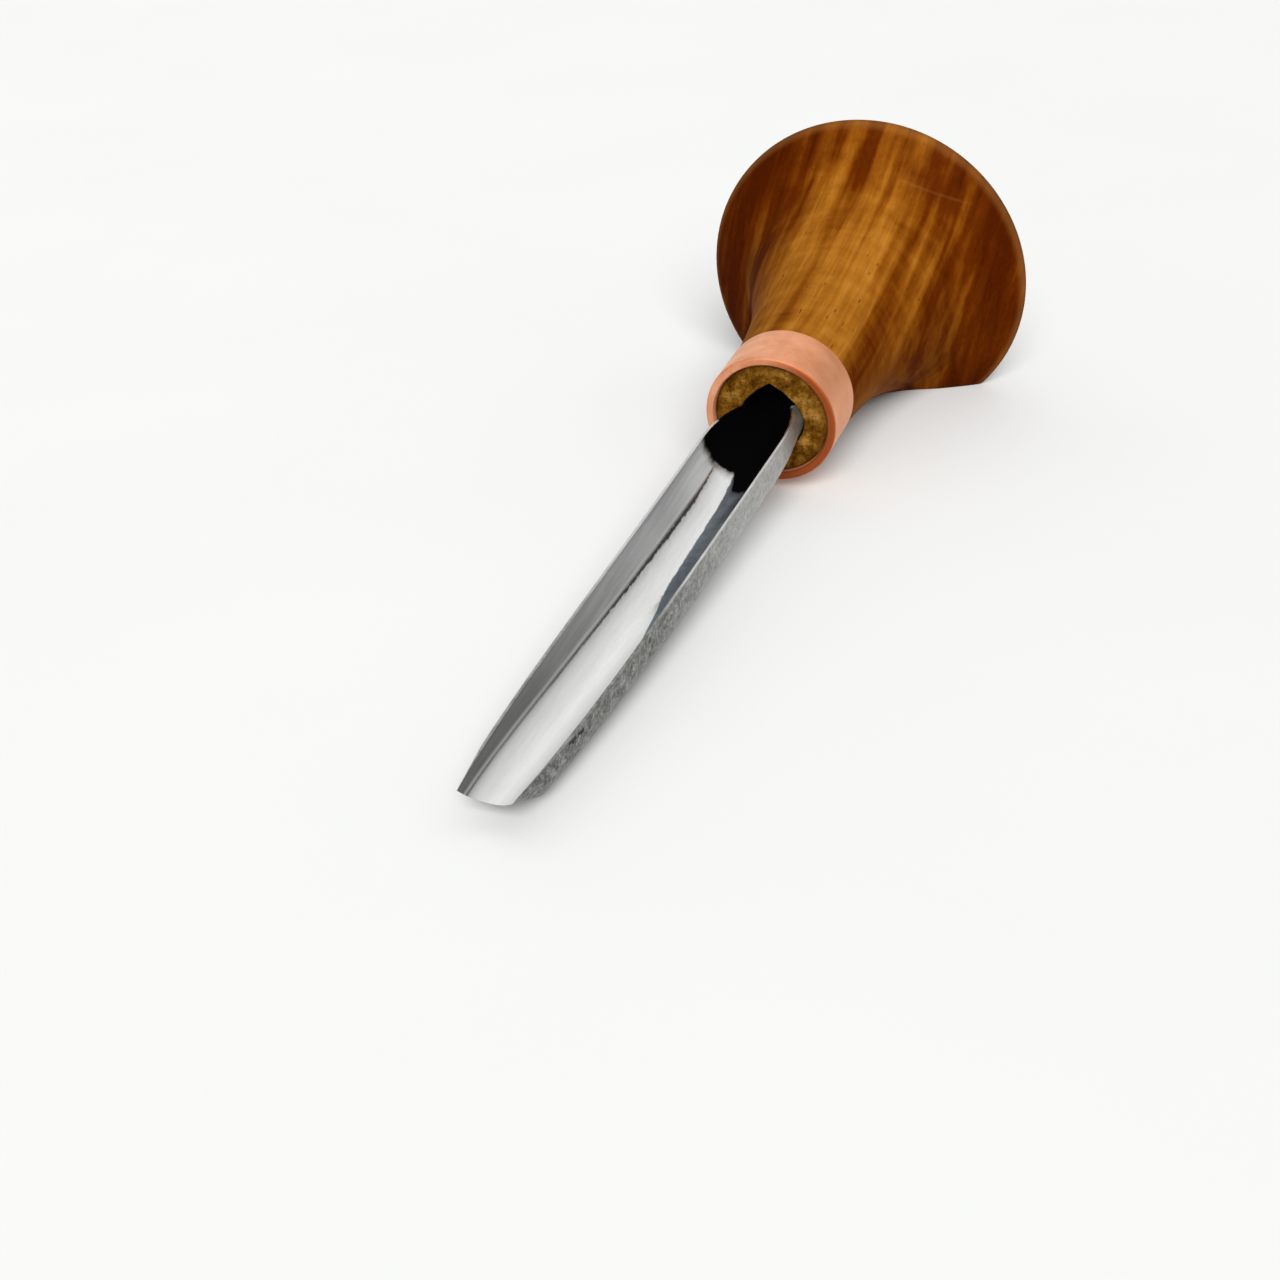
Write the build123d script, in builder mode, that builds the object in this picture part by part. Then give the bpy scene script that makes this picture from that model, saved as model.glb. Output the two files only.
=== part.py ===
"""Palm-handled lino and wood gouge, lying as it rests on a bench.

The tool has one axis, which runs from the cutting edge through the ferrule to the knob of the handle.
Lengths along it are measured from the ferrule's front face: "reach" goes forward to the cutting edge,
and "depth" goes back into the handle. The bench is the plane Z = 0. The flat on the handle's knob lies
on it, the heel of the blade's bevel touches it, and the axis climbs from the blade to the handle.
The origin is on the flat, under the centre of the knob's rim. All sizes are in millimetres.
"""

from build123d import *
from math import atan, cos, radians, sin, tan
import os

# Whole tool
REST_TILT = 6.9            # degrees that the axis climbs above the bench
BLADE_REACH = 73.35        # ferrule face to the corners of the cutting edge
ROOT_REACH = 9.5           # ferrule face to the widest place of the blade

# Copper ferrule, a slice of 15 mm pipe
FERRULE_RADIUS = 7.5
FERRULE_WALL = 1.0
FERRULE_LENGTH = 7.25
FERRULE_EDGE = 0.3

# Handle
END_GRAIN_RECESS = 0.4     # end grain behind the ferrule's face
NECK_RADIUS = 7.4
RIM_DEPTH = 39.8           # ferrule face to the knob's rim
RIM_RADIUS = 20.0
RIM_EDGE = 0.9
DOME_FALL = 26.0           # angle at which the dome leaves the rim

# Blade: half width inside the lips, and heights from the axis
LIP_ROOT_HALF = 4.12
LIP_EDGE_HALF = 2.55
LIP_SLOW_TAPER = 0.58      # the part of the taper that is spread over the whole blade
LIP_ROOT_HEIGHT = 2.5
LIP_EDGE_HEIGHT = 3.85
FLOOR_ROOT_HEIGHT = -2.55
FLOOR_EDGE_HEIGHT = 2.2
FLOOR_POWER = 1.35
BELLY_ROOT_HEIGHT = -3.95
BELLY_EDGE_HEIGHT = 0.25
LIP_LAND = 0.3             # wall thickness at the lips
BEVEL_ANGLE = 27.0
BEVEL_SIDE_ANGLE = 7.0
BEVEL_ROOM = 12.0          # length over which the bevel can cut the blade
EDGE_THICKNESS = 0.05
EDGE_RAKE = 31.0           # the corners of the cutting edge lead, the floor trails
STATIONS = 7               # blade sections from the widest place to the cutting edge

# Blade's neck, half way from its widest place to the handle
NECK_HALF = 3.75
NECK_LAND = 0.4
NECK_LIP_HEIGHT = 2.3
NECK_FLOOR_HEIGHT = -2.45
NECK_BELLY_HEIGHT = -3.9

# Shank and tang, inside the handle
SHANK_HALF = 3.6
SHANK_LIP_HEIGHT = 1.75
SHANK_LAND = 1.2
SHANK_CHANNEL_HALF = SHANK_HALF - SHANK_LAND
SHANK_FLOOR_HEIGHT = -2.0
CHANNEL_END_DEPTH = 4.0
SHANK_DEPTH = 8.0
TANG_ROOT_SIDE = 4.4
TANG_TIP_SIDE = 2.4
TANG_DEPTH = 34.0

# Stepped hole in the handle, and the resin in it
MOUTH_GAP = 0.15           # room around the shank
MOUTH_PEAK = 4.2
MOUTH_ARCH_HALF = 3.2
MOUTH_ARCH_RISE = 0.25
MOUTH_DEPTH = 8.4
PILOT_RADIUS = 3.4
PILOT_DEPTH = 35.0
DRILL_POINT_ANGLE = 31.0
RESIN_FACE_DEPTH = 5.0


def blade_share(reach):
    """0 at the blade's widest place, 1 at the cutting edge."""
    return (reach - ROOT_REACH) / (BLADE_REACH - ROOT_REACH)


def lip_half(reach):
    """Half width inside the lips: a slow taper, and a quick one close to the edge."""
    share = blade_share(reach)
    quick_taper = LIP_ROOT_HALF - LIP_EDGE_HALF - LIP_SLOW_TAPER
    return LIP_ROOT_HALF - LIP_SLOW_TAPER * share - quick_taper * share**6


def rise(root_height, edge_height, reach, power=2.0):
    """A height that climbs along the blade, slowly at the widest place and faster towards the edge."""
    return root_height + (edge_height - root_height) * blade_share(reach) ** power


def lip_height(reach):
    return rise(LIP_ROOT_HEIGHT, LIP_EDGE_HEIGHT, reach)


def belly_height(reach):
    return rise(BELLY_ROOT_HEIGHT, BELLY_EDGE_HEIGHT, reach)


def section_lean(reach):
    """Sections are upright at the blade's widest place and lean with the edge's rake at its end."""
    return atan(tan(radians(EDGE_RAKE)) * blade_share(reach) ** 4)


def belly_on_section(reach):
    """Belly height on the leaning section, whose foot trails behind its lips."""
    foot = reach - (lip_height(reach) - belly_height(reach)) * tan(section_lean(reach))
    return belly_height(foot)


def edge_setback():
    """How far the cutting edge's floor trails behind its corners."""
    return (LIP_EDGE_HEIGHT - FLOOR_EDGE_HEIGHT) * tan(radians(EDGE_RAKE))


def bevel_height(reach):
    """Height of the bevel's lowest line."""
    back = BLADE_REACH - edge_setback() - reach
    return FLOOR_EDGE_HEIGHT - EDGE_THICKNESS - back * tan(radians(BEVEL_ANGLE))


def heel_reach():
    """Where the bevel meets the belly, found by halving."""
    near, far = BLADE_REACH / 2, BLADE_REACH
    while far - near > 0.001:
        middle = (near + far) / 2
        if bevel_height(middle) > belly_height(middle):
            far = middle
        else:
            near = middle
    return near


# The tool's own frame
TILT = radians(REST_TILT)
HEEL = heel_reach()
AXIS_HEIGHT = HEEL * sin(TILT) - belly_height(HEEL) * cos(TILT)
AXIS_DIRECTION = Vector(cos(TILT), 0, sin(TILT))
FACE_CENTRE = Vector(-RIM_DEPTH * cos(TILT), 0, AXIS_HEIGHT)
TOOL_AXIS = Axis(FACE_CENTRE, AXIS_DIRECTION)
PROFILE = Plane(origin=FACE_CENTRE, x_dir=AXIS_DIRECTION, z_dir=(0, -1, 0))
BENCH_ROOM = 60.0


def section(depth, lean=0.0, pivot=0.0):
    """A plane across the tool, with X to the right hand and Y up.

    It leans by an angle in radians, top forward, about the line at height pivot, which stays at depth.
    """
    up = Vector(-sin(TILT), 0, cos(TILT))
    foot = FACE_CENTRE + AXIS_DIRECTION * (depth + pivot * tan(lean))
    return Plane(foot, x_dir=(0, -1, 0), z_dir=-AXIS_DIRECTION * cos(lean) - up * sin(lean))


def trough(depth, half, land, lip, floor, belly, lean=0.0):
    """A U: flat lips, straight outer walls to a half-round belly, and one arc inside."""
    outer = half + land
    lip_line, floor_line, belly_line = lip / cos(lean), floor / cos(lean), belly / cos(lean)
    spring = belly_line + outer
    with BuildSketch(section(depth, lean, lip)) as sketch:
        with BuildLine():
            Line((half, lip_line), (outer, lip_line))
            Line((outer, lip_line), (outer, spring))
            ThreePointArc((outer, spring), (0, belly_line), (-outer, spring))
            Line((-outer, spring), (-outer, lip_line))
            Line((-outer, lip_line), (-half, lip_line))
            ThreePointArc((-half, lip_line), (0, floor_line), (half, lip_line))
        make_face()
    return sketch.sketch


def bevel_section(back):
    """The room inside the bevel, back from the edge: one arc below, and walls above the lips."""
    rake, bevel = tan(radians(EDGE_RAKE)), tan(radians(BEVEL_ANGLE))
    lean = radians(EDGE_RAKE)
    half = LIP_EDGE_HALF + EDGE_THICKNESS + back * tan(radians(BEVEL_SIDE_ANGLE))
    floor = FLOOR_EDGE_HEIGHT - (EDGE_THICKNESS + back * bevel) / (1 - rake * bevel)
    lip_line, floor_line = LIP_EDGE_HEIGHT / cos(lean), floor / cos(lean)
    top = lip_line + 4
    with BuildSketch(section(back - BLADE_REACH, lean, LIP_EDGE_HEIGHT)) as sketch:
        with BuildLine():
            Line((half, lip_line), (half, top))
            Line((half, top), (-half, top))
            Line((-half, top), (-half, lip_line))
            ThreePointArc((-half, lip_line), (0, floor_line), (half, lip_line))
        make_face()
    return sketch.sketch


def shank_outline(depth):
    """The shank's outline with no channel in it."""
    with BuildSketch(section(depth)) as sketch:
        with BuildLine():
            Line((SHANK_HALF, 0), (SHANK_HALF, SHANK_LIP_HEIGHT))
            Line((SHANK_HALF, SHANK_LIP_HEIGHT), (-SHANK_HALF, SHANK_LIP_HEIGHT))
            Line((-SHANK_HALF, SHANK_LIP_HEIGHT), (-SHANK_HALF, 0))
            ThreePointArc((-SHANK_HALF, 0), (0, -SHANK_HALF), (SHANK_HALF, 0))
        make_face()
    return sketch.sketch


def mouth_outline(depth):
    """The hole where the blade goes in: a little wider than the shank, with a pointed arch above it."""
    half, lip = SHANK_HALF + MOUTH_GAP, SHANK_LIP_HEIGHT + MOUTH_GAP
    spring = (MOUTH_ARCH_HALF / 2, (lip + MOUTH_PEAK) / 2 + MOUTH_ARCH_RISE)
    with BuildSketch(section(depth)) as sketch:
        with BuildLine():
            Polyline((half, 0), (half, lip), (MOUTH_ARCH_HALF, lip), spring, (0, MOUTH_PEAK))
            Polyline(
                (0, MOUTH_PEAK), (-spring[0], spring[1]), (-MOUTH_ARCH_HALF, lip), (-half, lip), (-half, 0)
            )
            ThreePointArc((-half, 0), (0, -half), (half, 0))
        make_face()
    return sketch.sketch


def square_bar(depth, side):
    with BuildSketch(section(depth)) as sketch:
        Rectangle(side, side)
    return sketch.sketch


# Drilled hole for the tang
with BuildPart() as pilot_room:
    with BuildSketch(PROFILE):
        drill_point = PILOT_RADIUS * tan(radians(DRILL_POINT_ANGLE))
        with BuildLine():
            Polyline(
                (MOUTH_DEPTH, 0),
                (MOUTH_DEPTH, PILOT_RADIUS),
                (PILOT_DEPTH, PILOT_RADIUS),
                (PILOT_DEPTH + drill_point, 0),
                close=True,
            )
        make_face()
    revolve(axis=TOOL_AXIS)

# Handle: turned, then cut flat underneath and opened for the blade and its tang
with BuildPart() as handle:
    with BuildSketch(PROFILE):
        seat = FERRULE_RADIUS - FERRULE_WALL
        fall = radians(DOME_FALL)
        rim_start = (
            RIM_DEPTH - RIM_EDGE * sin(radians(45)),
            RIM_RADIUS - RIM_EDGE * (1 - cos(radians(45))),
        )
        dome_radius = (RIM_RADIUS - RIM_EDGE * (1 - cos(fall))) / cos(fall)
        dome_centre = RIM_DEPTH + RIM_EDGE * sin(fall) - dome_radius * sin(fall)
        with BuildLine():
            Polyline(
                (dome_centre + dome_radius, 0),
                (END_GRAIN_RECESS, 0),
                (END_GRAIN_RECESS, seat - 0.3),
                (END_GRAIN_RECESS + 0.3, seat),
                (FERRULE_LENGTH, seat),
                (FERRULE_LENGTH, NECK_RADIUS),
            )
            Spline(
                (FERRULE_LENGTH, NECK_RADIUS),
                (19.5, 8.8),
                (29.5, 11.9),
                (34.2, 14.0),
                (36.6, 16.8),
                rim_start,
                tangents=[(1, 0.03), (1, 1)],
            )
            JernArc(start=rim_start, tangent=(1, 1), radius=RIM_EDGE, arc_size=-45 - DOME_FALL)
            CenterArc((dome_centre, 0), dome_radius, start_angle=0, arc_size=90 - DOME_FALL)
        make_face()
    revolve(axis=TOOL_AXIS)
    with BuildSketch(Plane.XY):
        Rectangle(4 * BENCH_ROOM, 2 * BENCH_ROOM)
    extrude(amount=-BENCH_ROOM, mode=Mode.SUBTRACT)
    extrude(mouth_outline(MOUTH_DEPTH), amount=MOUTH_DEPTH, mode=Mode.SUBTRACT)
    add(pilot_room.part, mode=Mode.SUBTRACT)

# Ferrule: a ring cut from pipe, pressed on the handle's spigot
with BuildPart() as ferrule:
    with BuildSketch(section(FERRULE_LENGTH)):
        Circle(FERRULE_RADIUS)
        Circle(FERRULE_RADIUS - FERRULE_WALL, mode=Mode.SUBTRACT)
    extrude(amount=FERRULE_LENGTH)
    fillet(ferrule.edges().filter_by(GeomType.CIRCLE).group_by(SortBy.RADIUS)[-1], FERRULE_EDGE)

# Room inside the sharpening bevel, open over the rest of the blade and the tang
with BuildPart() as bevel_room:
    loft(sections=[bevel_section(0), bevel_section(BEVEL_ROOM)], ruled=True)
    with BuildSketch(section(BENCH_ROOM)):
        Rectangle(BENCH_ROOM, BENCH_ROOM)
    extrude(amount=BENCH_ROOM + BLADE_REACH - BEVEL_ROOM)

# Blade: forged trough, closed at the shank, drawn out to a square tang
shank_sizes = (SHANK_CHANNEL_HALF, SHANK_LAND, SHANK_LIP_HEIGHT, SHANK_FLOOR_HEIGHT, -SHANK_HALF)
blade_sections = [
    trough(0, *shank_sizes),
    trough(-ROOT_REACH / 2, NECK_HALF, NECK_LAND, NECK_LIP_HEIGHT, NECK_FLOOR_HEIGHT, NECK_BELLY_HEIGHT),
]
for station in range(STATIONS):
    reach = ROOT_REACH + (BLADE_REACH - ROOT_REACH) * station / (STATIONS - 1)
    floor = rise(FLOOR_ROOT_HEIGHT, FLOOR_EDGE_HEIGHT, reach, FLOOR_POWER)
    blade_sections.append(
        trough(
            -reach,
            lip_half(reach),
            LIP_LAND,
            lip_height(reach),
            floor,
            belly_on_section(reach),
            section_lean(reach),
        )
    )
with BuildPart() as blade:
    loft(sections=blade_sections)
    add(bevel_room.part, mode=Mode.INTERSECT)
    extrude(trough(CHANNEL_END_DEPTH, *shank_sizes), amount=CHANNEL_END_DEPTH)
    loft(sections=[shank_outline(CHANNEL_END_DEPTH), square_bar(SHANK_DEPTH, TANG_ROOT_SIDE)], ruled=True)
    loft(
        sections=[square_bar(SHANK_DEPTH, TANG_ROOT_SIDE), square_bar(TANG_DEPTH, TANG_TIP_SIDE)],
        ruled=True,
    )

# Resin bed that fills the hole around the tang
with BuildPart() as tang_resin:
    add(pilot_room.part)
    extrude(mouth_outline(MOUTH_DEPTH), amount=MOUTH_DEPTH - RESIN_FACE_DEPTH)
    add(blade.part, mode=Mode.SUBTRACT)

os.makedirs("parts", exist_ok=True)
handle.part.label = "handle"
export_step(handle.part, "parts/handle.step")
ferrule.part.label = "ferrule"
export_step(ferrule.part, "parts/ferrule.step")
blade.part.label = "blade"
export_step(blade.part, "parts/blade.step")
tang_resin.part.label = "tang_resin"
export_step(tang_resin.part, "parts/tang_resin.step")
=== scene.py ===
"""Looks for the palm-handled lino cutter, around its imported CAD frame.

Pieces are drawn on the tool's own axes, in millimetres: X from the blade to the knob along the tool's
axis, Y to the left, Z up, with the origin at the middle of the ferrule's front face. place() turns that
into the frame's metres, and the materials turn the frame's places back into the tool's millimetres.
"""

import math

import bmesh
import bpy
from mathutils import Euler, Matrix, Vector, noise


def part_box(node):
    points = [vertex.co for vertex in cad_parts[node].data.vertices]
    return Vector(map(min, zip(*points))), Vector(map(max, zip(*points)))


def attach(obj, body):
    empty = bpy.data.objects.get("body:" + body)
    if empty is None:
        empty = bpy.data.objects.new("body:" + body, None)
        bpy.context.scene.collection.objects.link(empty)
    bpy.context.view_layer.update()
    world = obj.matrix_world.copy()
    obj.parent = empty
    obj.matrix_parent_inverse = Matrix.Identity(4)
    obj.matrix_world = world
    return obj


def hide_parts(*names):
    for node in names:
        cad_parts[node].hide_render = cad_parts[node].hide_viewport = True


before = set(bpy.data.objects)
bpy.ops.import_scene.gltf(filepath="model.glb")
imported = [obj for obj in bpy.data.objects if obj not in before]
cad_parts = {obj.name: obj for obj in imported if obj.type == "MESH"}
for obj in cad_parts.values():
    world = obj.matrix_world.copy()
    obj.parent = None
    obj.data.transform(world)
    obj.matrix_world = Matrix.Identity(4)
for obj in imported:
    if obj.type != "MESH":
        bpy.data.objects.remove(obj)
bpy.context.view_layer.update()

MM = 0.001

# Handle and ferrule
TILT = math.radians(6.9)
FERRULE_LENGTH = 7.25
FERRULE_RADIUS = 7.5
FERRULE_WALL = 1.0
FERRULE_EDGE = 0.32
NECK_RADIUS = 7.4
RIM_DEPTH = 39.8
RIM_RADIUS = 20.0
RIM_EDGE = 0.9
DOME_FALL = math.radians(26)
END_GRAIN_RECESS = 0.4

# Hole for the tang
MOUTH_HALF = 3.75
MOUTH_WALL = 0.3           # the mouth's sides lean in above this height
MOUTH_SHOULDER = 1.9
MOUTH_ARCH_HALF = 2.9
MOUTH_PEAK = 4.2
MOUTH_ARCH_RISE = 0.25
MOUTH_DEPTH = 8.4
MOUTH_EDGE = 0.12          # the mouth's sharp edge is broken by this
PILOT_RADIUS = 3.4
PILOT_DEPTH = 35.0
PILOT_POINT = 2.04

# Blade: reaches from the ferrule's face, half widths, and heights above the tool's axis
BLADE_REACH = 73.35
ROOT_REACH = 9.5           # the blade's widest place
SHANK_HALF = 2.4           # inner half width at the handle
ROOT_HALF = 4.12
EDGE_HALF = 2.55
EVEN_TAPER = 0.58          # the even part of the loss in half width; the rest comes near the edge
SHANK_WALL = 1.2
LIP_LAND = 0.3             # wall at the lips, all along the blade
SHANK_SHOULDER = 0.3       # the shank's walls get thinner above this height
SHANK_LIP = 1.75
ROOT_LIP = 2.5
EDGE_LIP = 3.85
SHANK_FLOOR = -1.9
ROOT_FLOOR = -2.55
EDGE_FLOOR = 2.2
SHANK_BELLY = -3.6
ROOT_BELLY = -3.95
EDGE_BELLY = 0.25
RUN_OUT_REACH = 17.5       # the ground channel gets shallower from here to its root
RUN_OUT = 0.011            # by this, times the square of the distance
EDGE_THICKNESS = 0.05
EDGE_RAKE = math.radians(31)
BEVEL_REACH = 20           # the bevel ends well within this distance from the edge
BEVEL_ANGLE = math.radians(27)
BEVEL_SIDE_ANGLE = math.radians(7)

# Mesh detail
SHARP_ANGLE = math.radians(42)
HANDLE_SPOKES = 384
FACE_ROWS = 10
FERRULE_SPOKES = 256
BLADE_RAYS = 96

# Zones of the blade, in the order of its materials
CHANNEL, OUTSIDE, LIP = range(3)

# The tool's axes in the frame: the ferrule's box is centred on the middle of its length
ferrule_low, ferrule_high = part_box("ferrule")
AXIS = Vector((math.cos(TILT), 0, math.sin(TILT)))
FACE_CENTRE = (ferrule_low + ferrule_high) / 2 - AXIS * FERRULE_LENGTH / 2 * MM
TOOL = Matrix.Translation(FACE_CENTRE) @ Euler((0, -TILT, 0)).to_matrix().to_4x4()


# ---------------------------------------------------------------- meshes

def place(name, verts, faces, node, zones=None):
    """A piece from vertices in millimetres on the tool's axes, which stands for a CAD node.

    zones gives each face the number of its material.
    """
    mesh = bpy.data.meshes.new(name)
    mesh.from_pydata([TOOL @ (Vector(v) * MM) for v in verts], [], faces)
    if zones:
        mesh.polygons.foreach_set("material_index", zones)
    work = bmesh.new()
    work.from_mesh(mesh)
    bmesh.ops.remove_doubles(work, verts=work.verts, dist=1e-7)
    bmesh.ops.recalc_face_normals(work, faces=work.faces)
    work.to_mesh(mesh)
    work.free()
    mesh.shade_smooth()
    mesh.set_sharp_from_angle(angle=SHARP_ANGLE)
    piece = bpy.data.objects.new(name, mesh)
    bpy.context.scene.collection.objects.link(piece)
    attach(piece, "root")
    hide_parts(node)
    return piece


def skin(rings):
    """Vertices and faces between neighbouring rings of equal length. Each ring is closed on itself."""
    faces = []
    count = len(rings[0])
    for row in range(len(rings) - 1):
        here, there = row * count, (row + 1) * count
        for i in range(count):
            j = (i + 1) % count
            faces.append((here + i, here + j, there + j, there + i))
    return [v for ring in rings for v in ring], faces


def subdivide(points, step):
    """More points on straight runs, no further apart than step."""
    out = [points[0]]
    for a, b in zip(points, points[1:]):
        count = max(1, math.ceil(math.dist(a, b) / step))
        for i in range(1, count + 1):
            out.append(tuple(p + (q - p) * i / count for p, q in zip(a, b)))
    return out


def through(points, first, last, steps):
    """A smooth curve through points, with the end directions given."""
    out = []
    count = len(points)
    for k in range(count - 1):
        a, b = Vector(points[k]), Vector(points[k + 1])
        before = Vector(first) * (b - a).length if k == 0 else (b - Vector(points[k - 1])) / 2
        after = Vector(last) * (b - a).length if k == count - 2 else (Vector(points[k + 2]) - a) / 2
        for i in range(steps):
            t = i / steps
            h = (2 * t**3 - 3 * t**2 + 1, t**3 - 2 * t**2 + t, 3 * t**2 - 2 * t**3, t**3 - t**2)
            out.append(tuple(a * h[0] + before * h[1] + b * h[2] + after * h[3]))
    out.append(tuple(points[-1]))
    return out


def arc(centre, radius, start, end, steps):
    """Points on an arc. Angles, in degrees, are measured from the axis direction towards the outside."""
    out = []
    for i in range(steps + 1):
        angle = math.radians(start + (end - start) * i / steps)
        out.append((centre[0] + radius * math.cos(angle), centre[1] + radius * math.sin(angle)))
    return out


def polar(x, radius, angle):
    """A point at a distance from the tool's axis. The angle starts at the left and goes up."""
    return Vector((x, radius * math.cos(angle), radius * math.sin(angle)))


def wobble(point, scale, seed):
    """Smooth noise from -1 to 1 with features about scale millimetres across."""
    return noise.noise(Vector(point) / scale + Vector((seed, 0, 0)))


def cut_flat(point):
    """Brings what would be under the bench up to it, with a slightly softened edge."""
    soft = 0.22
    up = Vector((math.sin(TILT), 0, math.cos(TILT)))
    height = point.dot(up) + FACE_CENTRE.z / MM
    if height > soft:
        return point
    level = 0.0 if height < -soft else (height + soft) ** 2 / (4 * soft)
    return point + up * (level - height)


def mouth_radius(angle):
    """Distance from the axis to the side of the mouth: a U for the shank, with a pointed arch above it."""
    y, z = math.cos(angle), math.sin(angle)
    if z <= 0:
        return MOUTH_HALF
    spring = (MOUTH_ARCH_HALF / 2, (MOUTH_SHOULDER + MOUTH_PEAK) / 2 + MOUTH_ARCH_RISE)
    corners = [
        (MOUTH_HALF, 0),
        (MOUTH_HALF, MOUTH_WALL),
        (MOUTH_ARCH_HALF, MOUTH_SHOULDER),
        spring,
        (0, MOUTH_PEAK),
    ]
    for (y1, z1), (y2, z2) in zip(corners, corners[1:]):
        turn = abs(y) * (z2 - z1) - z * (y2 - y1)
        if abs(turn) < 1e-9:
            continue
        share_of_side = (y1 * z - z1 * abs(y)) / turn
        if -1e-6 <= share_of_side <= 1 + 1e-6:
            return math.hypot(y1 + (y2 - y1) * share_of_side, z1 + (z2 - z1) * share_of_side)
    return MOUTH_HALF


def handle_outline():
    """(depth, radius) from the bottom of the hole, over the end grain, the neck and the dome."""
    seat = FERRULE_RADIUS - FERRULE_WALL
    diagonal = math.sqrt(0.5)
    rim_centre = (RIM_DEPTH, RIM_RADIUS - RIM_EDGE)
    rim_start = (RIM_DEPTH - RIM_EDGE * diagonal, rim_centre[1] + RIM_EDGE * diagonal)
    dome_start = 90 - math.degrees(DOME_FALL)
    dome_radius = (RIM_RADIUS - RIM_EDGE * (1 - math.cos(DOME_FALL))) / math.cos(DOME_FALL)
    dome_centre = (RIM_DEPTH + (RIM_EDGE - dome_radius) * math.sin(DOME_FALL), 0)
    bore = [(PILOT_DEPTH + PILOT_POINT, 0.02), (PILOT_DEPTH, PILOT_RADIUS), (MOUTH_DEPTH, PILOT_RADIUS)]
    face = [(END_GRAIN_RECESS, seat - 0.3), (END_GRAIN_RECESS + 0.3, seat)]
    shoulder = [(FERRULE_LENGTH - 0.02, seat), (FERRULE_LENGTH, NECK_RADIUS - 0.25)]
    neck = (FERRULE_LENGTH + 0.2, NECK_RADIUS)
    outside = subdivide(face + shoulder + [neck], 1.0)
    flare = [neck, (19.5, 8.8), (29.5, 11.9), (34.2, 14.0), (36.6, 16.8), rim_start]
    outside += through(flare, (1, 0.03), (diagonal, diagonal), 22)[1:]
    outside += arc(rim_centre, RIM_EDGE, 135, dome_start, 8)[1:]
    outside += arc(dome_centre, dome_radius, dome_start, 0.02, 70)[1:]
    return subdivide(bore, 3.0), outside


def build_handle():
    """Turned handle with its bore, the end grain in the ferrule, and the flat underneath."""
    bore, outside = handle_outline()
    angles = [math.tau * i / HANDLE_SPOKES for i in range(HANDLE_SPOKES)]
    rings = [[polar(x, r, a) for a in angles] for x, r in bore]
    for x, edge in [(MOUTH_DEPTH, 0), (4.0, 0), (END_GRAIN_RECESS + 0.15, 0), (END_GRAIN_RECESS, MOUTH_EDGE)]:
        rings.append([polar(x, mouth_radius(a) + edge, a) for a in angles])
    face_radius = outside[0][1]
    for k in range(1, FACE_ROWS):
        ring = []
        for a in angles:
            r = (mouth_radius(a) + MOUTH_EDGE) * (1 - k / FACE_ROWS) + face_radius * k / FACE_ROWS
            point = polar(END_GRAIN_RECESS, r, a)
            point.x += 0.05 * wobble(point, 1.1, 17.0) + 0.03 * wobble(point, 0.4, 41.0)
            ring.append(point)
        rings.append(ring)
    for x, r in outside:
        ring = []
        for a in angles:
            point = polar(x, r, a)
            if x > FERRULE_LENGTH:
                grow = 0.05 * wobble(point, 14.0, 3.0) + 0.01 * wobble((x * 4, 0, 0), 1.0, 7.0)
                point += polar(0, grow, a)
            ring.append(cut_flat(point))
        rings.append(ring)
    verts, faces = skin(rings)
    first, last = len(verts), len(verts) + 1
    verts += [Vector((PILOT_DEPTH + PILOT_POINT, 0, 0)), Vector((outside[-1][0], 0, 0))]
    top = (len(rings) - 1) * HANDLE_SPOKES
    for i in range(HANDLE_SPOKES):
        j = (i + 1) % HANDLE_SPOKES
        faces.append((first, j, i))
        faces.append((last, top + i, top + j))
    return place("handle_wood", verts, faces, "handle")


def build_ferrule():
    """A slice of copper pipe: rounded outside edges, a small chamfer inside, slight dents."""
    outer = FERRULE_RADIUS
    inner = FERRULE_RADIUS - FERRULE_WALL
    edge = FERRULE_EDGE
    back_edge = FERRULE_EDGE * 0.6
    back = FERRULE_LENGTH
    outline = subdivide([(back - 0.08, inner), (0.2, inner), (0, inner + 0.16)], 0.5)
    outline += arc((edge, outer - edge), edge, 180, 90, 6)
    outline += subdivide([(edge, outer), (back - back_edge, outer)], 0.35)[1:]
    outline += arc((back - back_edge, outer - back_edge), back_edge, 90, 0, 5)[1:]
    outline += [(back, inner + 0.08)]
    rings = []
    for x, r in outline:
        ring = []
        for i in range(FERRULE_SPOKES):
            a = math.tau * i / FERRULE_SPOKES
            point = polar(x, r, a)
            if r > inner + 0.3:
                dent = 0.035 * max(0.0, wobble(point, 3.5, 11.0)) + 0.012 * abs(wobble(point, 1.2, 5.0))
                point -= polar(0, dent, a)
            ring.append(point)
        rings.append(ring)
    rings.append(rings[0])
    verts, faces = skin(rings)
    return place("ferrule_ring", verts, faces, "ferrule")


def share(reach):
    """0 at the blade's widest place, 1 at the cutting edge."""
    return (reach - ROOT_REACH) / (BLADE_REACH - ROOT_REACH)


def climb(root, edge, reach, power=2.0):
    """From the size at the blade's widest place to the size at the cutting edge."""
    return root + (edge - root) * max(0.0, share(reach)) ** power


def settle(shank, root, reach, power):
    """From the shank's size at the handle to the size at the blade's widest place."""
    return root + (shank - root) * (1 - max(0.0, reach) / ROOT_REACH) ** power


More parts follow.
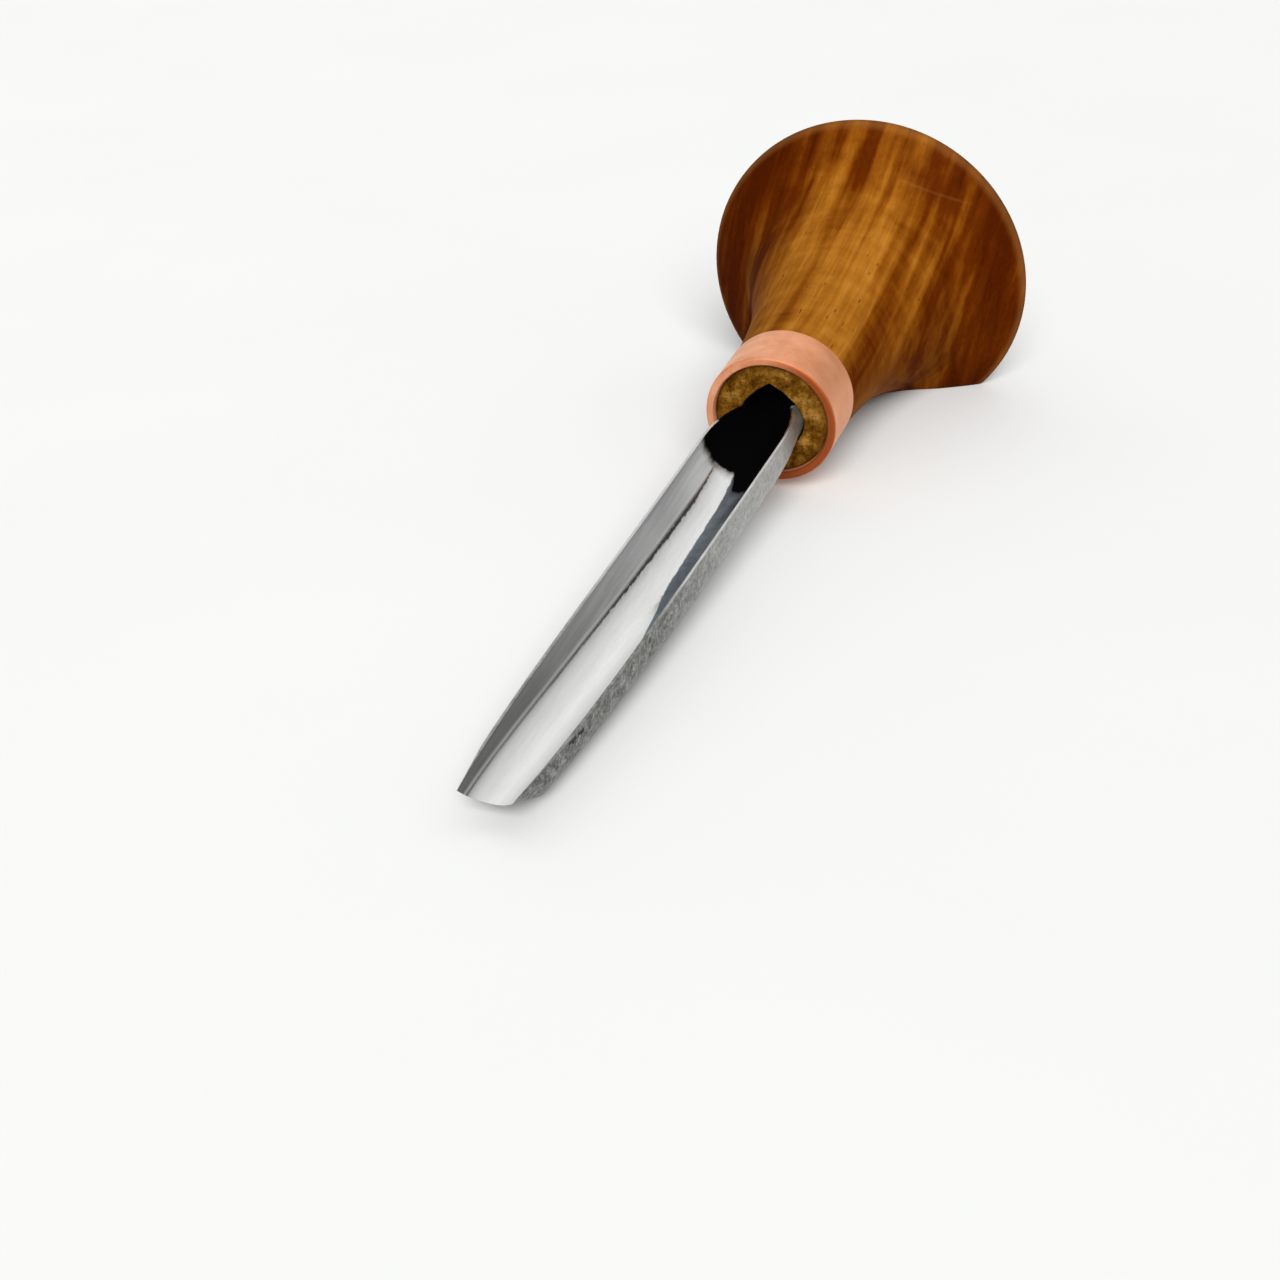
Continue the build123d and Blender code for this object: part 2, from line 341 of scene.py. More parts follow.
def blade_shape(reach):
    """(inner half width, wall, lip height, channel floor) at a reach."""
    run_out = RUN_OUT * max(0.0, RUN_OUT_REACH - max(reach, ROOT_REACH)) ** 2
    if reach < ROOT_REACH:
        return (
            settle(SHANK_HALF, ROOT_HALF, reach, 2.2),
            settle(SHANK_WALL, LIP_LAND, reach, 3.2),
            settle(SHANK_LIP, ROOT_LIP, reach, 1.9),
            settle(SHANK_FLOOR, ROOT_FLOOR + run_out, reach, 2.4),
        )
    half = ROOT_HALF - EVEN_TAPER * share(reach) - (ROOT_HALF - EDGE_HALF - EVEN_TAPER) * share(reach) ** 6
    lip = climb(ROOT_LIP, EDGE_LIP, reach, 1.6)
    return half, LIP_LAND, lip, climb(ROOT_FLOOR, EDGE_FLOOR, reach, 1.35) + run_out


def belly_height(reach, lip):
    """Belly on the leaning section, whose foot trails behind its lips."""
    if reach < ROOT_REACH:
        return settle(SHANK_BELLY, ROOT_BELLY, reach, 2.8)
    foot = reach - (lip - climb(ROOT_BELLY, EDGE_BELLY, reach)) * lean(reach)
    return climb(ROOT_BELLY, EDGE_BELLY, foot)


def lean(reach):
    """How far a section's foot trails behind its lips, for each millimetre of height."""
    return math.tan(EDGE_RAKE) * max(0.0, share(reach)) ** 4


def bowl_radius(half, lip, floor, direction):
    """How far it is, in a direction, from between the lips to the arc through both lips and the floor."""
    sag = lip - floor
    radius = (half**2 + sag**2) / (2 * sag)
    offset = sag - radius
    along = direction[1] * offset
    return -along + math.sqrt(along**2 - offset**2 + radius**2)


def trough_radius(outer, lip, belly, direction):
    """How far it is, in a direction, from between the lips to straight walls on a half-round belly."""
    spring = belly + outer
    if abs(direction[0]) > 1e-9:
        wall = outer / abs(direction[0])
        if lip + direction[1] * wall >= spring:
            return wall
    offset = lip - spring
    along = direction[1] * offset
    return -along + math.sqrt(along**2 - offset**2 + outer**2)


def blade_section(reach):
    """Points of the channel and of the outside, from the left lip to the right one."""
    half, land, lip, floor = blade_shape(reach)
    belly = belly_height(reach, lip)
    slope = lean(reach)
    back = BLADE_REACH - reach
    bevel = math.tan(BEVEL_ANGLE)
    bevel_half = EDGE_HALF + EDGE_THICKNESS + back * math.tan(BEVEL_SIDE_ANGLE)
    bevel_floor = EDGE_FLOOR - (EDGE_THICKNESS + back * bevel) / (1 - math.tan(EDGE_RAKE) * bevel)
    inside, outside = [], []
    for k in range(BLADE_RAYS + 1):
        angle = math.pi + math.pi * k / BLADE_RAYS
        direction = (math.cos(angle), math.sin(angle))
        near = bowl_radius(half, lip, floor, direction)
        far = trough_radius(half + land, lip, belly, direction)
        if back < BEVEL_REACH:
            far = min(far, bowl_radius(bevel_half, lip, bevel_floor, direction))
        far = max(far, near + EDGE_THICKNESS)
        for reached, points in ((near, inside), (far, outside)):
            drop = reached * direction[1]
            points.append(Vector((-reach - drop * slope, -reached * direction[0], lip + drop)))
        corner = outside[-1]
        if corner.z > SHANK_SHOULDER and land > LIP_LAND:
            rise = (corner.z - SHANK_SHOULDER) / (lip - SHANK_SHOULDER)
            corner.y -= math.copysign((land - LIP_LAND) * rise, corner.y)
    return inside, outside


def build_blade():
    """Forged gouge with its bevel, lips, shank and square tang."""
    rays = BLADE_RAYS
    # rings are close together near the edge and at the shank, and end inside the handle
    reaches = [BLADE_REACH - 0.25 * i for i in range(40)]
    reaches += [reaches[-1] - 0.5 * (i + 1) for i in range(104)]
    reaches += [reaches[-1] * (1 - i / 36) for i in range(1, 37)]
    reaches += [-1.0, -2.5, -4.0]
    rings = []
    for reach in reaches:
        inside, outside = blade_section(reach)
        land = (outside[0] - inside[0]).length
        crown = Vector((0, 0, min(0.06, land * 0.3)))
        for k in range(1, rays):
            inside[k].z += 0.008 * wobble(inside[k], 5.0, 21.0)
            outward = (outside[k] - inside[k]).normalized()
            room = min(1.0, (outside[k] - inside[k]).length)
            outside[k] += outward * 0.03 * room * wobble(outside[k], 2.5, 31.0)
        left = [inside[0].lerp(outside[0], t) + crown for t in (0.7, 0.3)]
        right = [inside[-1].lerp(outside[-1], t) + crown for t in (0.3, 0.7)]
        rings.append(inside + right + outside[::-1] + left)
    verts, faces = skin(rings)
    count = len(rings[0])
    row_zones = [CHANNEL] * rays + [LIP] * 3 + [OUTSIDE] * (count - rays - 6) + [LIP] * 3
    zones = row_zones * (len(rings) - 1)
    # the cutting edge, and the channel's end inside the handle
    for base in (0, (len(rings) - 1) * count):
        for k in range(rays):
            faces.append((base + k, base + k + 1, base + count - 4 - k, base + count - 3 - k))
        faces.append((base + rays, base + rays + 1, base + rays + 2, base + rays + 3))
        faces.append((base + count - 3, base + count - 2, base + count - 1, base))
    offset = len(verts)
    tang_verts, tang_faces = tang()
    verts = verts + tang_verts
    faces = faces + [tuple(i + offset for i in f) for f in tang_faces]
    zones += [OUTSIDE] * (len(faces) - len(zones))
    return place("blade_steel", verts, faces, "blade", zones)


def tang():
    """Square tang, drawn out from a plug that closes the shank's channel."""
    sizes = [(3.98, 3.6), (5.5, 3.2), (8.0, 2.2), (21.0, 1.7), (34.0, 1.2)]
    rings = []
    for depth, half in sizes:
        high = min(half, SHANK_LIP)
        corners = ((-half, -half), (half, -half), (half, high), (-half, high))
        rings.append([Vector((depth, y, z)) for y, z in corners])
    verts, faces = skin(rings)
    faces.append((0, 1, 2, 3))
    faces.append(tuple(len(verts) - 4 + i for i in range(4)))
    return verts, faces


# ---------------------------------------------------------------- materials

class Nodes:
    """Short names for the shader nodes that the materials and the studio share."""

    def __init__(self, tree):
        self.tree = tree

    def feed(self, socket, value):
        """Links a socket to an input, or sets the input. Colours have three numbers."""
        if isinstance(value, bpy.types.NodeSocket):
            self.tree.links.new(value, socket)
        elif socket.type == "RGBA":
            socket.default_value = (*value, 1)
        else:
            socket.default_value = value

    def node(self, kind, inputs=None, **settings):
        node = self.tree.nodes.new(kind)
        for key, value in settings.items():
            setattr(node, key, value)
        for key, value in (inputs or {}).items():
            self.feed(node.inputs[key], value)
        return node

    def split(self, vector):
        return self.node("ShaderNodeSeparateXYZ", {"Vector": vector}).outputs

    def math(self, operation, a, b=0.0):
        return self.node("ShaderNodeMath", {0: a, 1: b}, operation=operation).outputs[0]

    def total(self, *terms, plus=0.0):
        """Sum of (value, weight) pairs and a constant."""
        out = plus
        for value, weight in terms:
            out = self.math("ADD", out, self.math("MULTIPLY", value, weight))
        return out

    def product(self, *values):
        """Product of values. For masks, it is where all of them apply."""
        out = values[0]
        for value in values[1:]:
            out = self.math("MULTIPLY", out, value)
        return out

    def away(self, value, centre=0.0):
        """How far a value is from a centre."""
        return self.math("ABSOLUTE", self.math("SUBTRACT", value, centre))

    def remap(self, value, low, high, to_low=0.0, to_high=1.0):
        inputs = {"Value": value, "From Min": low, "From Max": high, "To Min": to_low, "To Max": to_high}
        return self.node("ShaderNodeMapRange", inputs, interpolation_type="SMOOTHSTEP").outputs["Result"]

    def ramp(self, value, stops):
        """A colour ramp from (position, colour) pairs."""
        node = self.node("ShaderNodeValToRGB", {"Fac": value})
        elements = node.color_ramp.elements
        while len(elements) < len(stops):
            elements.new(0.5)
        for element, (position, colour) in zip(elements, stops):
            element.position = position
            element.color = (*colour, 1)
        return node.outputs["Color"]

    def mix(self, factor, a, b, blend="MIX"):
        inputs = {0: factor, 6: a, 7: b}
        return self.node("ShaderNodeMix", inputs, data_type="RGBA", blend_type=blend).outputs[2]

    def dim(self, colour, factor):
        """A colour times a grey value."""
        grey = self.node("ShaderNodeCombineColor", {0: factor, 1: factor, 2: factor}).outputs[0]
        return self.mix(1.0, colour, grey, "MULTIPLY")


class Look(Nodes):
    """A new material. Its places and patterns are in the tool's millimetres."""

    def __init__(self, name):
        self.material = bpy.data.materials.new(name)
        self.material.use_nodes = True
        super().__init__(self.material.node_tree)
        self.shader = self.tree.nodes["Principled BSDF"]
        place = self.node("ShaderNodeTexCoord").outputs["Object"]
        inputs = {"Vector": place, "Location": FACE_CENTRE, "Rotation": (0, -TILT, 0), "Scale": (MM, MM, MM)}
        self.place = self.node("ShaderNodeMapping", inputs, vector_type="TEXTURE").outputs["Vector"]
        self.x, self.y, self.z = self.split(self.place)

    def mapped(self, scale, turn=(0, 0, 0), move=(0, 0, 0)):
        """The place, turned and then scaled, so that a turned pattern can still be stretched."""
        turned = self.node("ShaderNodeMapping", {"Vector": self.place, "Rotation": turn}).outputs["Vector"]
        inputs = {"Vector": turned, "Scale": scale, "Location": move}
        return self.node("ShaderNodeMapping", inputs).outputs["Vector"]

    def noise(self, vector, detail=3.0, roughness=0.5, distortion=0.0):
        inputs = {"Vector": vector, "Scale": 1.0, "Detail": detail}
        inputs |= {"Roughness": roughness, "Distortion": distortion}
        return self.node("ShaderNodeTexNoise", inputs).outputs["Fac"]

    def voronoi(self, vector):
        return self.node("ShaderNodeTexVoronoi", {"Vector": vector, "Scale": 1.0}).outputs["Distance"]

    def bump(self, height, strength, distance):
        inputs = {"Height": height, "Strength": strength, "Distance": distance * MM}
        return self.node("ShaderNodeBump", inputs).outputs["Normal"]

    def finish(self, **inputs):
        """Sets inputs of the shader, named in lower case with underscores, and gives the material."""
        for key, value in inputs.items():
            self.feed(self.shader.inputs[key.replace("_", " ").title()], value)
        return self.material


# Growth layers stand almost upright along the tool, turned this far about its axis
LAYER_TURN = math.radians(-14)
SAPWOOD_PLACE = 2.2        # where the wood is palest, across the growth layers
WOOD_INDEX = 1.03          # the oil has soaked in and leaves hardly any gloss
SCRATCH_SLOPE = math.radians(21.8)
SCRATCH_HEIGHT = 15.22     # how far the scratch across the knob passes above the axis
SEAM_PLACE = -0.6          # y of a faint dark line along the top of the ferrule

# Places on the blade: x for the end of the painted dark reflection streak in the channel, x and z for the gap
# between the nicks and for the pit
REFLECTION_STREAK_END = -50.0
NICK_PLACE = (-63.1, 2.422)
PIT_PLACE = (-47.3, 2.45)
# near-black for forge scale, and for painted shade at the channel's root and in the hole
SCALE_AND_SHADE_BLACK = (0.0008, 0.0008, 0.0008)
SCALE_GLOSS = 0.02


def wood_material():
    """Oiled hardwood: growth layers along the tool, pores, and end grain where the ferrule shows it."""
    n = Look("oiled_hardwood")
    radius = n.math("SQRT", n.math("ADD", n.product(n.y, n.y), n.product(n.z, n.z)))

    # growth layers
    turn = (LAYER_TURN, 0, 0)
    across = n.split(n.mapped((1, 1, 1), turn))["Y"]
    broad = n.noise(n.mapped((0.010, 0.15, 0.03), turn), detail=2.0, distortion=0.3)
    bands = n.noise(n.mapped((0.015, 0.42, 0.05), turn, (4, 0, 0)), detail=1.5, roughness=0.4, distortion=0.2)
    streaks = n.noise(n.mapped((0.030, 0.78, 0.09), turn), detail=2.0, roughness=0.5, distortion=0.3)
    figure = n.noise(n.mapped((0.5, 0.16, 0.16), turn, (7, 0, 0)), detail=3.0, roughness=0.6)
    layers = [(broad, 0.16), (bands, 0.32), (streaks, 0.32), (figure, 0.18)]
    flare = n.remap(radius, 10.0, 18.5)
    sapwood = n.remap(n.away(across, SAPWOOD_PLACE), 2.5, 9.5, 1.0, 0.0)
    tone = n.total(*layers, (flare, -0.12), (sapwood, 0.13), plus=0.035)
    colour = n.ramp(tone, [
        (0.36, (0.046, 0.0065, 0.0002)),
        (0.46, (0.078, 0.0140, 0.0004)),
        (0.56, (0.160, 0.0460, 0.0026)),
        (0.66, (0.262, 0.0960, 0.0090)),
        (0.78, (0.360, 0.1560, 0.0260)),
    ])
    fibre = n.noise(n.mapped((0.25, 3.0, 1.2), turn), detail=3.0, roughness=0.6)
    colour = n.dim(colour, n.remap(fibre, 0.3, 0.7, 0.88, 1.08))
    fleck = n.voronoi(n.mapped((0.22, 1.1, 1.1)))
    spotted = n.product(n.remap(fleck, 0.16, 0.07), n.remap(streaks, 0.5, 0.62), 0.6)
    colour = n.mix(spotted, colour, (0.035, 0.010, 0.002))

    # a faint scratch across the knob's front, and a painted highlight along the edge of its rim
    rise, run = math.sin(SCRATCH_SLOPE), math.cos(SCRATCH_SLOPE)
    beside = n.total((n.y, rise), (n.z, -run), (broad, 0.5), plus=SCRATCH_HEIGHT)
    along = n.total((n.y, -run), (n.z, -rise))
    in_front = n.remap(n.x, RIM_DEPTH - 0.2, RIM_DEPTH - 0.6)
    ends = n.product(n.remap(along, -1.0, 1.5), n.remap(along, 9.5, 6.5), in_front)
    scratch = n.product(n.remap(n.away(beside), 0.22, 0.04), ends)
    colour = n.mix(n.product(scratch, 0.05), colour, (0.42, 0.20, 0.06))
    # painted highlight: the rim's edge is lighter all round
    at_rim = n.remap(n.x, RIM_DEPTH + 0.8, RIM_DEPTH + 0.1)
    rim_highlight = n.product(n.remap(radius, RIM_RADIUS - RIM_EDGE, RIM_RADIUS - 0.1), at_rim, 0.25)
    colour = n.mix(rim_highlight, colour, (0.28, 0.12, 0.03))

    # end grain inside the ferrule, darker in its pores and around its rim, and painted shade that makes the
    # wood inside the hole near-black
    end = n.noise(n.mapped((0.6, 0.62, 0.62)), detail=5.0, roughness=0.7)
    pore = n.voronoi(n.mapped((1.0, 2.2, 2.2)))
    end_colour = n.ramp(end, [
        (0.36, (0.030, 0.0100, 0.0008)),
        (0.50, (0.105, 0.0430, 0.0035)),
        (0.66, (0.240, 0.1180, 0.0240)),
    ])
    end_colour = n.mix(n.remap(pore, 0.10, 0.3, 0.7, 0.0), end_colour, (0.020, 0.008, 0.001))
    end_colour = n.mix(n.remap(radius, 5.4, 6.4, 0.0, 0.6), end_colour, (0.045, 0.014, 0.001))
    on_end = n.remap(n.x, 1.0, 0.9)
    colour = n.mix(on_end, colour, end_colour)
    # painted shade: the wood inside the hole is made near-black
    past_face = n.remap(n.x, END_GRAIN_RECESS + 0.03, END_GRAIN_RECESS + 0.2)
    before_dome = n.remap(n.x, PILOT_DEPTH + 3.5, PILOT_DEPTH + 3.0)
    hole_shade = n.product(past_face, before_dome, n.remap(radius, 6.2, 6.0))
    colour = n.mix(hole_shade, colour, (0.004, 0.003, 0.002))

    height = n.total((fibre, 0.4), (n.product(end, on_end), 2.0), (scratch, -0.4))
    rough = n.remap(bands, 0.3, 0.7, 0.55, 0.45)
    n.shader.inputs["IOR"].default_value = WOOD_INDEX
    return n.finish(base_color=colour, roughness=rough, normal=n.bump(height, 0.25, 0.12))


def copper_material():
    """Satin copper with fine turning lines, darker towards its right side, and painted shade on its front
    face, deepest at the lower right.
    """
    n = Look("satin_copper")
    cloud = n.noise(n.mapped((0.35, 0.25, 0.25)), detail=4.0, roughness=0.6)
    lines = n.noise(n.mapped((9.0, 0.35, 0.35)), detail=3.0)
    colour = n.ramp(cloud, [(0.3, (0.62, 0.24, 0.11)), (0.5, (0.80, 0.37, 0.20)), (0.72, (0.88, 0.46, 0.28))])
    # darker towards the right side
    right_side_dark = n.product(n.remap(n.y, 4.0, -6.0), 0.5)
    colour = n.mix(right_side_dark, colour, (0.62, 0.24, 0.10))
    seam = n.product(n.remap(n.away(n.y, SEAM_PLACE), 0.8, 0.1), n.remap(n.z, 5.0, 6.5, 0.0, 0.2))
    colour = n.mix(seam, colour, (0.55, 0.20, 0.09))
    # painted shade on the front face, deepest towards the lower right
    face = n.remap(n.x, 0.30, 0.04)
    face_shade = n.remap(n.total((n.y, 1.0), (n.z, 0.5), (cloud, 3.0)), 6.5, -1.0, 0.35, 1.0)
    colour = n.mix(n.product(face, face_shade), colour, (0.26, 0.052, 0.006))
    rough = n.total((face, 0.15), plus=n.remap(cloud, 0.3, 0.7, 0.42, 0.52))
    return n.finish(base_color=colour, roughness=rough, metallic=0.7, normal=n.bump(lines, 0.12, 0.02))


def channel_material():
    """Polished steel, brushed along the channel, with black at the root that is partly the forge's scale and
    partly painted shade.
    """
    n = Look("polished_steel")
    ragged = n.noise(n.mapped((0.7, 0.9, 0.9)), detail=4.0, roughness=0.6)
    streaked = n.noise(n.mapped((0.10, 2.2, 2.2)), detail=3.0)
    upward = n.split(n.node("ShaderNodeNewGeometry").outputs["Normal"])["Z"]
    root = n.remap(n.x, -24.0, -12.0)
    tip = n.remap(n.x, -22.0, -64.0)

    # bright floor, and a left wall with painted shade that darkens it towards the tip and where it faces up
    floor_colour = n.mix(tip, (0.76, 0.765, 0.755), (0.68, 0.682, 0.665))
    floor_colour = n.dim(floor_colour, n.remap(streaked, 0.3, 0.7, 0.96, 1.01))
    wall_colour = n.mix(tip, (0.42, 0.422, 0.412), (0.13, 0.131, 0.127))
    wall_colour = n.mix(root, wall_colour, (0.54, 0.542, 0.53))
    wall_colour = n.dim(wall_colour, n.remap(streaked, 0.3, 0.7, 0.90, 1.08))
    wall_colour = n.dim(wall_colour, n.remap(upward, 0.1, 0.6, 1.08, 0.86))
    steep = n.remap(n.total((upward, 1.0), (tip, -0.035)), 0.70, 0.58)
    left_wall = n.product(steep, n.remap(n.y, 0.3, 0.9))
    colour = n.mix(left_wall, floor_colour, wall_colour)

    # a painted dark reflection on the channel's right side, as a streak that narrows to nothing two thirds of
    # the way down
    swell = n.remap(n.x, -46.5, -31.0)
    reflection_streak_edge = n.total((n.x, 0.046), (swell, 1.3), (ragged, 0.35), plus=-0.04)
    right_of_edge = n.remap(n.math("SUBTRACT", n.y, reflection_streak_edge), 0.12, -0.04)
    reflection_streak = n.product(right_of_edge, n.remap(n.x, REFLECTION_STREAK_END, REFLECTION_STREAK_END + 6.5))
    reflection_streak_colour = n.mix(n.remap(ragged, 0.35, 0.65), (0.10, 0.12, 0.14), (0.15, 0.18, 0.205))
    colour = n.mix(reflection_streak, colour, reflection_streak_colour)

    # black at the root, partly forge scale and partly painted shade; it ends in a ragged line with a darker
    # fringe in front of it, and its tongue further down on the right is a painted dark reflection
    reflection_tongue = n.remap(n.y, 1.15, 0.25, 0.0, 3.0)
    behind = n.total((n.x, 1.0), (ragged, 1.4), (reflection_tongue, 1.0))
    dark_fringe = n.product(n.remap(behind, -10.3, -8.7), n.remap(left_wall, 0.0, 1.0, 0.5, 1.0))
    colour = n.mix(dark_fringe, colour, (0.05, 0.04, 0.03))
    scale = n.remap(behind, -9.2, -8.5)
    colour = n.mix(scale, colour, SCALE_AND_SHADE_BLACK)

    # the wall and the freshly ground steel near the tip are matt
    fresh = n.product(n.remap(n.x, -33.0, -42.0), n.remap(n.y, 1.8, -1.0))
    matt = n.math("MAXIMUM", left_wall, fresh)
    metal = n.product(n.math("SUBTRACT", 1.0, scale), n.remap(matt, 0.0, 1.0, 1.0, 0.3))
    marks = [(scale, 0.6), (dark_fringe, 0.3), (reflection_streak, 0.25)]
    rough = n.total(*marks, (left_wall, 0.35), (tip, 0.08), (fresh, 0.3), plus=0.07)
    wave = n.noise(n.mapped((0.16, 0.5, 0.5)), detail=2.0)
    ripple = n.product(n.noise(n.mapped((0.7, 1.3, 1.3)), detail=2.0), n.remap(n.x, -60.0, -35.0))
    brushed = n.noise(n.mapped((0.25, 9.0, 9.0)), detail=4.0)
    height = n.total((wave, 1.0), (ripple, 1.6), (brushed, 0.012))
    n.shader.inputs["Specular IOR Level"].default_value = SCALE_GLOSS
    return n.finish(base_color=colour, roughness=rough, metallic=metal, normal=n.bump(height, 0.12, 0.12))


def outside_material():
    """Satin steel: an emery finish that turns darker and pitted towards the cutting edge."""
    n = Look("satin_steel")
    grain = n.noise(n.mapped((2.6, 2.6, 2.6)), detail=6.0, roughness=0.75)
    patches = n.noise(n.mapped((0.9, 1.1, 1.1)), detail=4.0, roughness=0.6)
    mottle = n.total((grain, 0.6), (patches, 0.4))
    bright = [(0.38, (0.28, 0.28, 0.265)), (0.5, (0.36, 0.362, 0.35)), (0.62, (0.47, 0.472, 0.46))]
    dark = [(0.40, (0.045, 0.045, 0.038)), (0.50, (0.145, 0.146, 0.132)), (0.60, (0.31, 0.31, 0.29))]
    near_edge = n.remap(n.x, -18.0, -48.0, 0.0, 0.95)
    colour = n.mix(near_edge, n.ramp(mottle, bright), n.ramp(mottle, dark))
    pitted = n.product(n.remap(n.voronoi(n.mapped((1.8, 1.8, 1.8))), 0.22, 0.10), n.remap(grain, 0.42, 0.56))
    colour = n.mix(n.product(pitted, n.remap(n.x, -24.0, -45.0, 0.1, 0.85)), colour, (0.03, 0.03, 0.027))

    # two black nicks in a line and a small pit, on the right below the lip
    x, z = NICK_PLACE
    line = n.total((n.x, 0.12), (n.z, 1.0), (grain, -1.2), plus=-0.12 * x - z)
    ends = n.product(n.remap(n.x, x - 1.9, x - 1.4), n.remap(n.x, x + 1.5, x + 1.0))
    nicks = n.product(n.remap(n.away(line), 0.24, 0.17), ends, n.remap(n.away(n.x, x), 0.05, 0.25))
    x, z = PIT_PLACE
    pit = n.product(n.remap(n.away(n.x, x), 0.55, 0.25), n.remap(n.away(n.z, z), 0.40, 0.15), 0.7)
    marks = n.product(n.math("MAXIMUM", nicks, pit), n.remap(n.y, 0.0, -0.5))
    colour = n.mix(marks, colour, (0.004, 0.004, 0.003))

    # black on the part of the shank inside the handle: forge scale, and painted shade that keeps the deep
    # hole black
    scale = n.remap(n.x, 0.4, 1.2)
    colour = n.mix(scale, colour, SCALE_AND_SHADE_BLACK)
    metal = n.remap(scale, 0.0, 1.0, 0.9, 0.0)
    brushed = n.noise(n.mapped((0.3, 6.0, 6.0)), detail=4.0)
    height = n.total((grain, 0.6), (pitted, -1.0), (marks, -2.0), (brushed, 0.1))
    rough = n.total((scale, 0.4), plus=n.remap(grain, 0.35, 0.65, 0.48, 0.34))
    n.shader.inputs["Specular IOR Level"].default_value = SCALE_GLOSS
    return n.finish(base_color=colour, roughness=rough, metallic=metal, normal=n.bump(height, 0.35, 0.10))


def lip_material():
    """Ground steel along the lips, darker towards the edge and more so on the right, with black on the left
    one's root that is forge scale and painted shade.
    """
    n = Look("ground_lip")
    brushed = n.noise(n.mapped((0.5, 7.0, 7.0)), detail=3.0)
    mottle = n.noise(n.mapped((1.2, 1.6, 1.6)), detail=5.0, roughness=0.65)
    left = n.remap(n.y, -0.5, 0.5)
    bright = n.ramp(brushed, [(0.35, (0.52, 0.52, 0.51)), (0.65, (0.68, 0.68, 0.67))])
    dark = n.ramp(mottle, [(0.38, (0.09, 0.09, 0.08)), (0.60, (0.32, 0.32, 0.30))])
    edge_darkening = n.product(n.remap(n.x, -34.0, -48.0), n.remap(left, 0.0, 1.0, 0.85, 0.6))
    colour = n.mix(edge_darkening, bright, dark)
    # black at the left lip's root: forge scale and painted shade of the channel's deep root
    scale = n.remap(n.total((n.x, 1.0), (left, 6.0), (mottle, 1.5)), 0.4, 1.4)
    colour = n.mix(scale, colour, SCALE_AND_SHADE_BLACK)
    metal = n.math("SUBTRACT", 1.0, scale)
    rough = n.total((edge_darkening, 0.2), plus=n.remap(brushed, 0.3, 0.7, 0.32, 0.24))
    n.shader.inputs["Specular IOR Level"].default_value = 0.05
    return n.finish(base_color=colour, roughness=rough, metallic=metal, normal=n.bump(brushed, 0.1, 0.02))


def resin_material():
    """Dark, slightly uneven filler around the tang, made near-black as painted shade for the deep hole."""
    n = Look("tang_filler")
    lump = n.noise(n.mapped((0.9, 0.9, 0.9)), detail=4.0)
    colour = n.ramp(lump, [(0.3, (0.0010, 0.0009, 0.0008)), (0.7, (0.0030, 0.0026, 0.0022))])
    n.shader.inputs["Specular IOR Level"].default_value = 0.05
    return n.finish(base_color=colour, roughness=0.8, normal=n.bump(lump, 0.6, 0.3))


def bench_material():
    """Pale, matt bench top."""
    n = Look("pale_bench")
    cloud = n.noise(n.mapped((0.02, 0.02, 0.02)), detail=3.0)
    colour = n.ramp(cloud, [(0.2, (0.690, 0.696, 0.686)), (0.8, (0.704, 0.710, 0.700))])
    return n.finish(base_color=colour, roughness=0.7)


def dress(piece, materials):
    """Gives a piece its materials, in the order of its zones."""
    for _ in range(len(piece.material_slots), len(materials)):
        piece.data.materials.append(None)
    for place_in_list, material in enumerate(materials):
        piece.material_slots[place_in_list].material = material


# ---------------------------------------------------------------- stage

BENCH_HALF = 3.0
BENCH_GAP = 0.00002        # keeps the bench clear of the handle's flat
ROOM_SLANT = math.radians(22.07)
FRONT_GREY = (0.36, 0.365, 0.365)


def build_bench():
    mesh = bpy.data.meshes.new("bench")
    half = BENCH_HALF
    corners = [(-half, -half, 0), (half, -half, 0), (half, half, 0), (-half, half, 0)]
    mesh.from_pydata(corners, [], [(0, 1, 2, 3)])
    bench = bpy.data.objects.new("bench", mesh)
    bpy.context.scene.collection.objects.link(bench)
    bench.location.z = -BENCH_GAP
    dress(bench, [bench_material()])


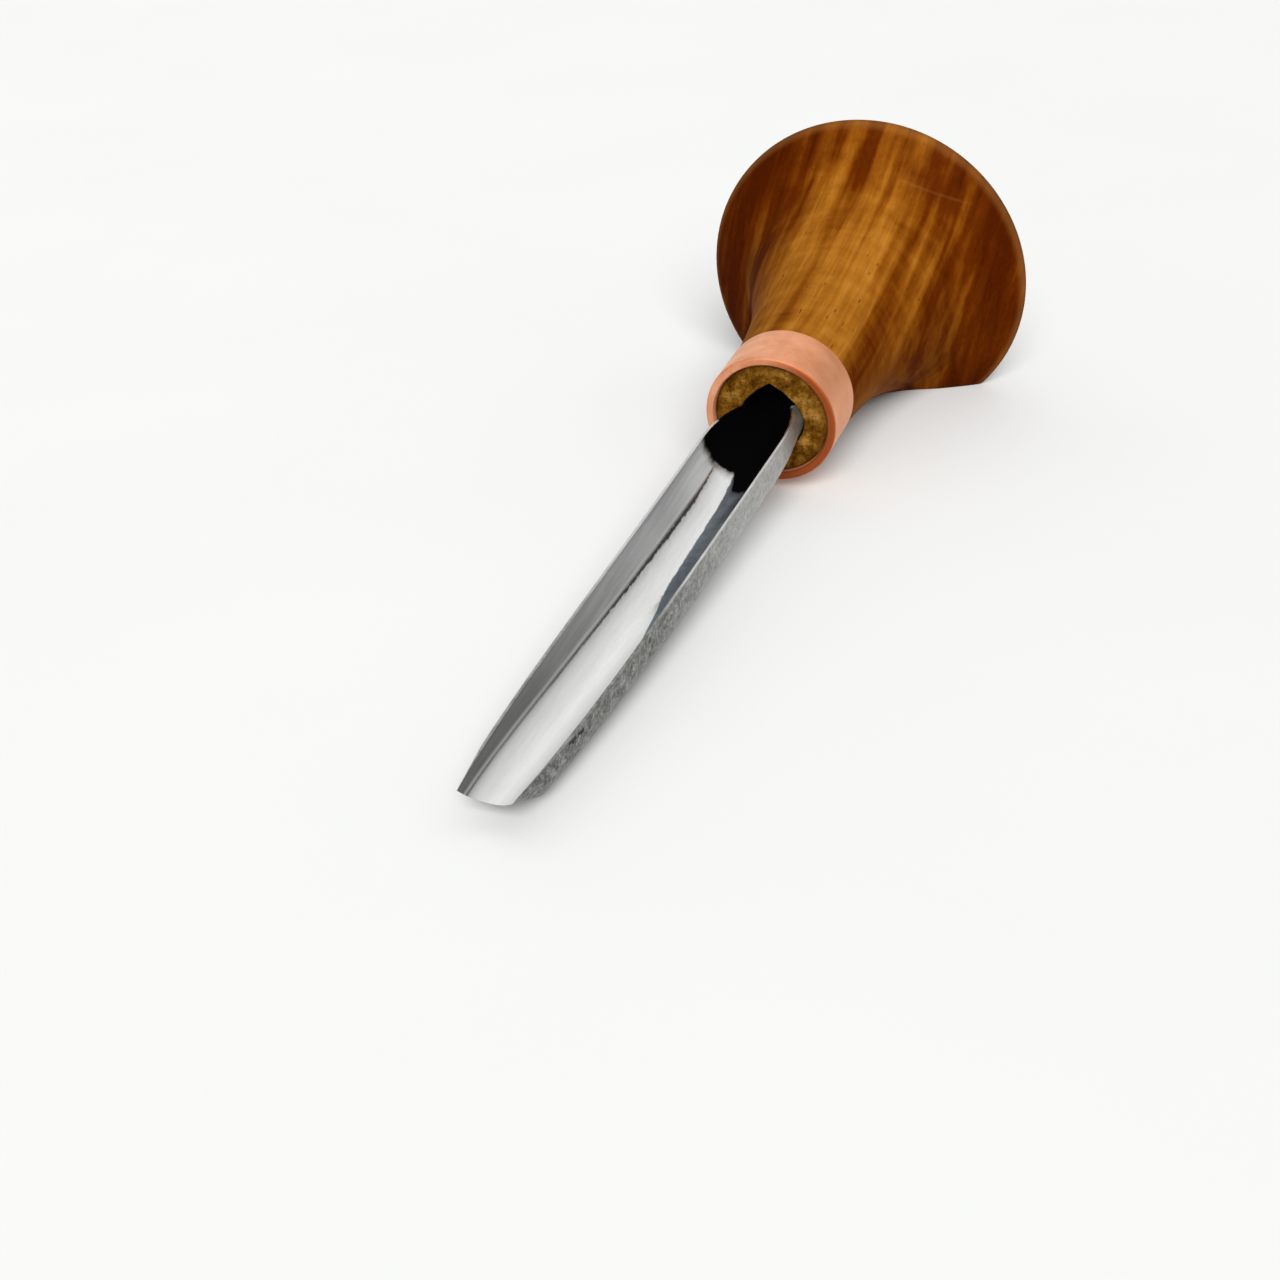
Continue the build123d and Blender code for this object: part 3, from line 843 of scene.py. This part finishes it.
def build_studio():
    """A room that is grey towards the blade's end.

    Beyond the handle it is bright above a slanted edge, with a dark gap and grey below.
    """
    world = bpy.data.worlds.new("studio")
    world.use_nodes = True
    n = Nodes(world.node_tree)
    x, y, z = n.split(n.node("ShaderNodeTexCoord").outputs["Generated"])
    height = n.total((y, math.tan(ROOM_SLANT)), (z, 1.0))
    room = n.ramp(height, [
        (0.000, (0.30, 0.303, 0.30)),
        (0.140, (0.34, 0.343, 0.34)),
        (0.150, (0.05, 0.05, 0.05)),
        (0.236, (0.06, 0.06, 0.06)),
        (0.242, (0.52, 0.52, 0.51)),
        (0.400, (0.78, 0.78, 0.77)),
        (0.650, (1.00, 1.00, 1.00)),
    ])
    colour = n.mix(n.remap(x, 0.35, 0.10), room, FRONT_GREY)
    background = n.tree.nodes["Background"]
    background.inputs["Strength"].default_value = 0.98
    n.feed(background.inputs["Color"], colour)
    bpy.context.scene.world = world
    bpy.context.scene.view_settings.view_transform = "Standard"


def build_front_light():
    """A soft light from behind the photographer, so that the shadows stay short and pale."""
    light = bpy.data.lights.new("front", "SUN")
    light.angle = math.radians(34)
    light.energy = 4.7
    lamp = bpy.data.objects.new("front", light)
    azimuth, elevation = math.radians(20), math.radians(34)
    level = math.cos(elevation)
    shine = Vector((level * math.cos(azimuth), level * math.sin(azimuth), -math.sin(elevation)))
    lamp.rotation_euler = shine.to_track_quat("-Z", "Y").to_euler()
    bpy.context.scene.collection.objects.link(lamp)


def build_camera():
    """The photographer's place: in front of the blade, to its right, looking down at it."""
    data = bpy.data.cameras.new("camera")
    data.lens = 54
    data.sensor_width = 36
    camera = bpy.data.objects.new("camera", data)
    azimuth, elevation, roll = math.radians(22.70), math.radians(-27.24), math.radians(-2.65)
    look = Euler((math.pi / 2 + elevation, 0, azimuth - math.pi / 2)).to_matrix()
    look @= Matrix.Rotation(roll, 3, "Z")
    camera.matrix_world = Matrix.Translation((-0.22868, -0.06245, 0.08440)) @ look.to_4x4()
    bpy.context.scene.collection.objects.link(camera)
    bpy.context.scene.camera = camera


build_camera()
build_studio()
build_front_light()
build_bench()
dress(build_handle(), [wood_material()])
dress(build_ferrule(), [copper_material()])
dress(build_blade(), [channel_material(), outside_material(), lip_material()])
dress(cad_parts["tang_resin"], [resin_material()])
